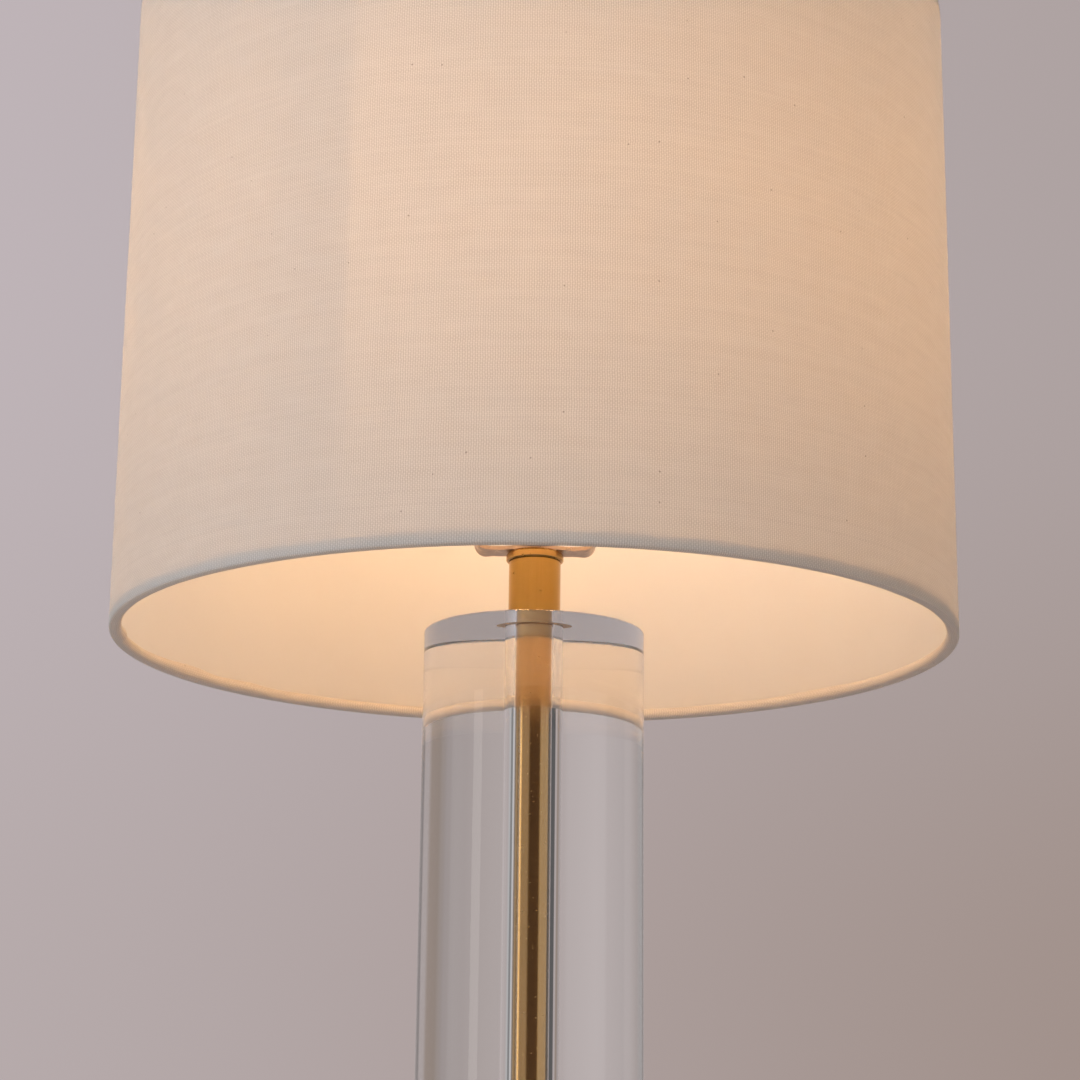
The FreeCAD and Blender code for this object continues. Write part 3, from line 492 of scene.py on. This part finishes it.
def lathe(name, outline, slot, body, *replaces, seg=192, closed=True, sharp=28.0, origin=(0.0, 0.0), mat=None):
    """Turned solid or shell about the Z axis. Points with radius 0 become poles."""
    bm = bmesh.new()
    rows = []
    for r, z in held(outline):
        if r < 1e-7:
            rows.append([bm.verts.new((origin[0], origin[1], z))])
        else:
            rows.append([bm.verts.new((origin[0] + r * math.cos(TAU * j / seg), origin[1] + r * math.sin(TAU * j / seg), z)) for j in range(seg)])
    pairs = list(zip(rows, rows[1:]))
    if closed and len(rows[0]) > 1 and len(rows[-1]) > 1:
        pairs.append((rows[-1], rows[0]))
    for a, b in pairs:
        for j in range(seg):
            k = (j + 1) % seg
            if len(a) == 1 and len(b) == 1:
                continue
            if len(a) == 1:
                bm.faces.new((a[0], b[k], b[j]))
            elif len(b) == 1:
                bm.faces.new((a[j], a[k], b[0]))
            else:
                bm.faces.new((a[j], a[k], b[k], b[j]))
    bmesh.ops.recalc_face_normals(bm, faces=bm.faces)
    me = bpy.data.meshes.new(name)
    bm.to_mesh(me)
    bm.free()
    me.shade_smooth()
    me.set_sharp_from_angle(angle=math.radians(sharp))
    ob = add_object(name, me, slot, body, *replaces)
    if mat:
        me.materials[0] = MATS[mat]
    return ob


def mm(*pts):
    return [tuple(x / 1000.0 for x in p) for p in pts]


# ------------------------------------------------------------------ column, stem and neck
lathe("crystal_body", rounded(mm((8.0, 33.0, 0), (45.3, 33.0, 0.25), (46.5, 34.2, 0.25), (46.5, 400.0, 0.9), (8.0, 400.0, 0)), 10),
      "crystal", "lamp", "crystal_column", seg=360, sharp=40)
lathe("brass_rod", rounded(mm((6.5, 32.0, 0), (7.5, 32.0, 0.15), (7.5, 402.8, 0.15), (6.5, 402.8, 0)), 3), "satin_brass", "lamp", "rod_sleeve", seg=160, mat="drawn_brass")
lathe("neck_sleeve", rounded(mm((9.6, 400.8, 0), (10.85, 400.8, 0.18), (11.0, 401.1, 0.2), (11.0, 430.9, 0.12), (10.7, 431.0, 0), (5.0, 431.0, 0), (5.0, 428.0, 0), (9.6, 428.0, 0)), 3),
      "satin_brass", "lamp", "neck_tube", seg=192, mat="neck_brass_painted_shade")
lathe("collar_bead", rounded(mm((5.0, 431.0, 0), (11.65, 431.0, 0.2), (12.2, 431.55, 0.5), (12.2, 434.0, 1.1), (11.2, 435.0, 0.3), (5.0, 435.0, 0)), 6),
      "satin_brass", "lamp", "collar_ring", seg=192)

# both washers are pressed wet against the crystal, so that they show through it
lathe("foot_cushion", mm((8.2, 32.0), (44.0, 32.0), (44.0, 33.03), (8.2, 33.03)), "clear_washer", "lamp", "seat_washer", seg=128)
lathe("neck_packing", mm((7.8, 399.97), (10.4, 399.97), (10.4, 400.78), (7.8, 400.78)), "clear_washer", "lamp", "neck_washer", seg=128, mat="amber_washer")

# ------------------------------------------------------------------ globe of the bulb
def globe():
    zc, R = 0.583 - 0.030, 0.030
    pts = [(0.0140, 0.5001), (0.0140, 0.5086)]
    a = math.radians(-38)
    p0, p1 = Vector((0.0140, 0.5086)), Vector((R * math.cos(a), zc + R * math.sin(a)))
    t1 = Vector((-math.sin(a), math.cos(a)))
    for i in range(1, 20):
        t = i / 20
        h00, h10, h01, h11 = 2 * t**3 - 3 * t**2 + 1, t**3 - 2 * t**2 + t, -2 * t**3 + 3 * t**2, t**3 - t**2
        q = p0 * h00 + Vector((0.0, 1.0)) * (h10 * 0.028) + p1 * h01 + t1 * (h11 * 0.026)
        pts.append((q.x, q.y))
    for i in range(0, 33):
        t = a + (math.pi / 2 - a) * i / 32
        pts.append((R * math.cos(t), zc + R * math.sin(t)) if i < 32 else (0.0, zc + R))
    return lathe("bulb_frosted_globe", pts, "bulb_glass", "bulb", "bulb_globe", seg=96, closed=False, sharp=60)


globe()


# ------------------------------------------------------------------ shade
def hash_noise(x, y, seed=0.0):
    return noise.noise(Vector((x, y, seed)))


SEG = 720
# bunched places in the lower roll: angle in degrees, width, extra thickness
LUMPS = ((151.5, 8.0, 0.55), (138.5, 5.5, 0.30), (181.0, 3.0, 0.35), (38.0, 9.0, 0.22), (322.0, 7.0, 0.25), (255.0, 6.0, 0.2), (90.0, 10.0, 0.15))


def wave(theta, freq, seed):
    # smooth and periodic round the shade
    return hash_noise(math.cos(theta) * freq, math.sin(theta) * freq, seed)


def fold(x, a):
    # pulled tight round the ring, the cloth turns under the wall in a much smaller bend than on its inner side
    if a < 1.5 * math.pi:
        return x
    return math.copysign(abs(x) ** 0.42, x)


def shade_cloth():
    """One band of cloth: outer wall, rolled round both wire rings, raw edge tucked behind the ring."""
    tuck = math.radians(50)
    steps = 34

    def hem(edge, up):
        # from the tucked raw edge over the top of the roll, down its inner side and under it to the wall
        zc = edge + up * RING_UP
        pts = []
        for i in range(steps + 1):
            a = tuck + (TAU - tuck) * i / steps
            pts.append((RING_C + ROLL_R * fold(math.cos(a), a), zc + up * ROLL_R * fold(math.sin(a), a), a))
        return pts

    low, high = hem(RIM, 1), hem(TOP, -1)
    z0, z1 = low[-1][1], high[-1][1]
    wall = [(SHADE_R, z0 + (z1 - z0) * i / 48, None) for i in range(1, 48)]
    prof = low + wall + high[::-1]
    dist = [0.0]
    for a, b in zip(prof, prof[1:]):
        dist.append(dist[-1] + math.hypot(a[0] - b[0], a[1] - b[1]))
    bm = bmesh.new()
    grid = []
    for r, z, a in prof:
        row = []
        lower = z < (RIM + TOP) / 2
        up = 1 if lower else -1
        zc = (RIM if lower else TOP) + up * RING_UP
        for j in range(SEG):
            t = TAU * j / SEG
            if a is None:
                rr, zz = r, z
                rr += 0.00010 * wave(t, 5.0, 20.0 + z * 9.0) + 0.00004 * wave(t, 30.0, z * 60.0)
                d = t - math.pi / 2            # lapped seam at the back, a thread's thickness proud
                if -0.034 < d < 0.034:
                    rr += 0.00015 * min(1.0, (0.034 - abs(d)) / 0.004)
            else:
                # the roll is full where spare cloth is bunched behind it and thin elsewhere
                side = max(0.0, min(1.0, (1.15 - math.cos(a - math.radians(125.0)) * -1.0 - 0.55) / 1.1))
                swell = 0.05 * wave(t, 3.0, 5.0 + up) + 0.045 * wave(t, 11.0, 9.0 + up) + 0.02 * wave(t, 46.0, 2.0 + up)
                if lower:
                    for at, wide, tall in LUMPS:
                        d = (t - math.radians(at) + math.pi) % TAU - math.pi
                        w = math.radians(wide)
                        # rises slowly, then drops at a crease
                        swell += tall * (math.exp(-(d / w) ** 2) if d > 0 else math.exp(-(d / (w * 0.45)) ** 2))
                q = ROLL_R * (1.0 + side * swell)
                rr = RING_C + q * fold(math.cos(a), a)
                zz = zc + up * q * fold(math.sin(a), a)
            row.append(bm.verts.new((rr * math.cos(t), rr * math.sin(t), zz)))
        grid.append(row)
    uvl = bm.loops.layers.uv.new("weave")
    for k in range(len(prof) - 1):
        for j in range(SEG):
            n = (j + 1) % SEG
            f = bm.faces.new((grid[k][j], grid[k][n], grid[k + 1][n], grid[k + 1][j]))
            us = (TAU * SHADE_R * j / SEG, TAU * SHADE_R * (j + 1) / SEG)
            for lp, (uu, vv) in zip(f.loops, ((us[0], dist[k]), (us[1], dist[k]), (us[1], dist[k + 1]), (us[0], dist[k + 1]))):
                lp[uvl].uv = (uu, vv)
    bmesh.ops.recalc_face_normals(bm, faces=bm.faces)
    me = bpy.data.meshes.new("shade_cloth")
    bm.to_mesh(me)
    bm.free()
    me.shade_smooth()
    ob = add_object("shade_cloth", me, "linen", "shade", "shade_fabric")
    return ob


def shade_backing():
    """Backing sheet with its lapped joint at the back."""
    r = 0.17705
    bm = bmesh.new()
    rows = []
    N = 24
    z0, z1 = 0.3985, 0.6693
    over = 0.020 / r
    cols = []
    for j in range(SEG + 1):
        t = math.pi / 2 + (TAU + over) * j / SEG - over / 2
        lap = max(0.0, min(1.0, (j / SEG * (TAU + over) - TAU + 0.01) / 0.03))
        cols.append((t, r - 0.00035 * lap))
    for i in range(N + 1):
        z = z0 + (z1 - z0) * i / N
        rows.append([bm.verts.new((rr * math.cos(t), rr * math.sin(t), z)) for t, rr in cols])
    for i in range(N):
        for j in range(SEG):
            bm.faces.new((rows[i][j], rows[i][j + 1], rows[i + 1][j + 1], rows[i + 1][j]))
    me = bpy.data.meshes.new("shade_backing")
    bm.to_mesh(me)
    bm.free()
    me.shade_smooth()
    return add_object("shade_backing", me, "liner", "shade", "shade_liner")


shade_cloth()
shade_backing()


# ------------------------------------------------------------------ floor and light
def stage():
    me = bpy.data.meshes.new("floor")
    s = 9.0
    me.from_pydata([(-s, -s, 0), (s, -s, 0), (s, s, 0), (-s, s, 0)], [], [(0, 1, 2, 3)])
    ob = bpy.data.objects.new("floor", me)
    bpy.context.scene.collection.objects.link(ob)
    M = Mat("floor")
    g = M.noise(M.obj(), 3.0, 4.0, 0.5)
    M.principled(Base_Color=M.mixc(g, (0.70, 0.625, 0.595), (0.73, 0.65, 0.62)), Roughness=0.75)
    me.materials.append(M.m)

    def area(name, loc, target, size, size_y, power, color):
        li = bpy.data.lights.new(name, "AREA")
        li.shape = "RECTANGLE"
        li.size, li.size_y = size, size_y
        li.energy, li.color = power, color
        o = bpy.data.objects.new(name, li)
        bpy.context.scene.collection.objects.link(o)
        o.location = loc
        d = Vector(target) - Vector(loc)
        o.rotation_euler = d.to_track_quat("-Z", "Y").to_euler()
        return o

    area("window", (-1.75, -1.7, 2.3), (0, 0, 0.45), 1.8, 1.8, 50.0, (0.60, 0.78, 1.0))
    area("strip", (-1.95, -1.22, 0.75), (0, 0, 0.55), 0.40, 1.5, 2.4, (1.0, 0.95, 0.90))
    area("fill", (1.3, -2.3, 2.1), (0, 0, 0.4), 1.4, 1.4, 10.0, (1.0, 0.81, 0.65))

    # plain pale room; what the glass and the metal reflect is paler walls with darker gaps between them
    world = bpy.data.worlds.new("world")
    world.use_nodes = True
    nt = world.node_tree
    nt.nodes.clear()

    def node(kind, **kw):
        nd = nt.nodes.new(kind)
        for k, v in kw.items():
            setattr(nd, k, v)
        return nd

    co = node("ShaderNodeTexCoord")
    sep = node("ShaderNodeSeparateXYZ")
    nt.links.new(co.outputs["Generated"], sep.inputs[0])
    az = node("ShaderNodeMath", operation="ARCTAN2")
    nt.links.new(sep.outputs[0], az.inputs[0])
    nt.links.new(sep.outputs[1], az.inputs[1])
    pos = node("ShaderNodeMapRange")
    for i, v in ((1, -math.pi), (2, math.pi), (3, 0.0), (4, 1.0)):
        pos.inputs[i].default_value = v
    nt.links.new(az.outputs[0], pos.inputs[0])
    ramp = node("ShaderNodeValToRGB")
    el = ramp.color_ramp.elements
    stops = [(-180, 0.10, 3), (-168, 0.10, 3), (-160, 0.50, 1), (-122, 0.50, 1), (-108, 0.28, 0), (-96, 0.62, 0), (-90, 0.58, 0), (-87, 0.20, 0), (-78, 0.20, 0), (-74, 0.45, 0), (-60, 0.43, 4), (-24, 0.50, 4), (0, 0.46, 4), (16, 0.41, 5),
             (38, 0.35, 5), (45, 0.28, 6), (55, 0.30, 6), (60, 0.42, 5), (69, 0.44, 4), (73, 0.09, 0), (97, 0.09, 0), (101, 0.64, 0), (143, 0.66, 0), (148, 0.10, 3), (180, 0.10, 3)]
    tints = ((0.99, 0.985, 1.0), (1.0, 0.955, 0.93), (1.0, 0.88, 0.76), (1.0, 0.72, 0.56), (0.96, 0.84, 0.83), (1.0, 0.87, 0.85), (1.0, 0.80, 0.69))
    while len(el) > 1:
        el.remove(el[-1])
    for i, (deg, v, k) in enumerate(stops):
        e = el[0] if i == 0 else el.new((deg + 180) / 360)
        e.position = (deg + 180) / 360
        e.color = tuple(v * c for c in tints[k]) + (1.0,)
    nt.links.new(pos.outputs[0], ramp.inputs[0])
    # the backdrop that the camera sees, with painted shade: darker towards the right, and a warm painted shadow low on
    # the right
    side = node("ShaderNodeMapRange", interpolation_type="SMOOTHSTEP")
    for i, v in ((1, -0.30), (2, 0.32), (3, 0.0), (4, 1.0)):
        side.inputs[i].default_value = v
    nt.links.new(sep.outputs[0], side.inputs[0])
    plain = node("ShaderNodeMix", data_type="RGBA")
    plain.inputs[6].default_value = (0.525, 0.462, 0.485, 1.0)
    plain.inputs[7].default_value = (0.415, 0.355, 0.350, 1.0)
    nt.links.new(side.outputs[0], plain.inputs[0])
    low = node("ShaderNodeMix", data_type="RGBA")
    low.inputs[6].default_value = (0.478, 0.415, 0.420, 1.0)
    low.inputs[7].default_value = (0.350, 0.275, 0.248, 1.0)
    nt.links.new(side.outputs[0], low.inputs[0])
    down = node("ShaderNodeMapRange", interpolation_type="SMOOTHSTEP")
    for i, v in ((1, 0.34), (2, 0.06), (3, 0.0), (4, 1.0)):
        down.inputs[i].default_value = v
    nt.links.new(sep.outputs[2], down.inputs[0])
    back = node("ShaderNodeMix", data_type="RGBA")
    nt.links.new(down.outputs[0], back.inputs[0])
    nt.links.new(plain.outputs[2], back.inputs[6])
    nt.links.new(low.outputs[2], back.inputs[7])
    lp = node("ShaderNodeLightPath")
    pick = node("ShaderNodeMix", data_type="RGBA")
    nt.links.new(lp.outputs["Is Camera Ray"], pick.inputs[0])
    nt.links.new(ramp.outputs[0], pick.inputs[6])
    nt.links.new(back.outputs[2], pick.inputs[7])
    bg = node("ShaderNodeBackground")
    nt.links.new(pick.outputs[2], bg.inputs[0])
    out = node("ShaderNodeOutputWorld")
    nt.links.new(bg.outputs[0], out.inputs[0])
    bpy.context.scene.world = world


stage()

scene = bpy.context.scene
scene.view_settings.view_transform = "Standard"
scene.view_settings.look = "None"
scene.cycles.use_denoising = True
scene.cycles.denoiser = "OPENIMAGEDENOISE"
scene.cycles.max_bounces = 24
scene.cycles.diffuse_bounces = 6
scene.cycles.glossy_bounces = 16
scene.cycles.transmission_bounces = 18
scene.cycles.transparent_max_bounces = 8
scene.cycles.caustics_reflective = True
scene.cycles.caustics_refractive = True
scene.cycles.blur_glossy = 0.5
scene.cycles.sample_clamp_indirect = 6.0
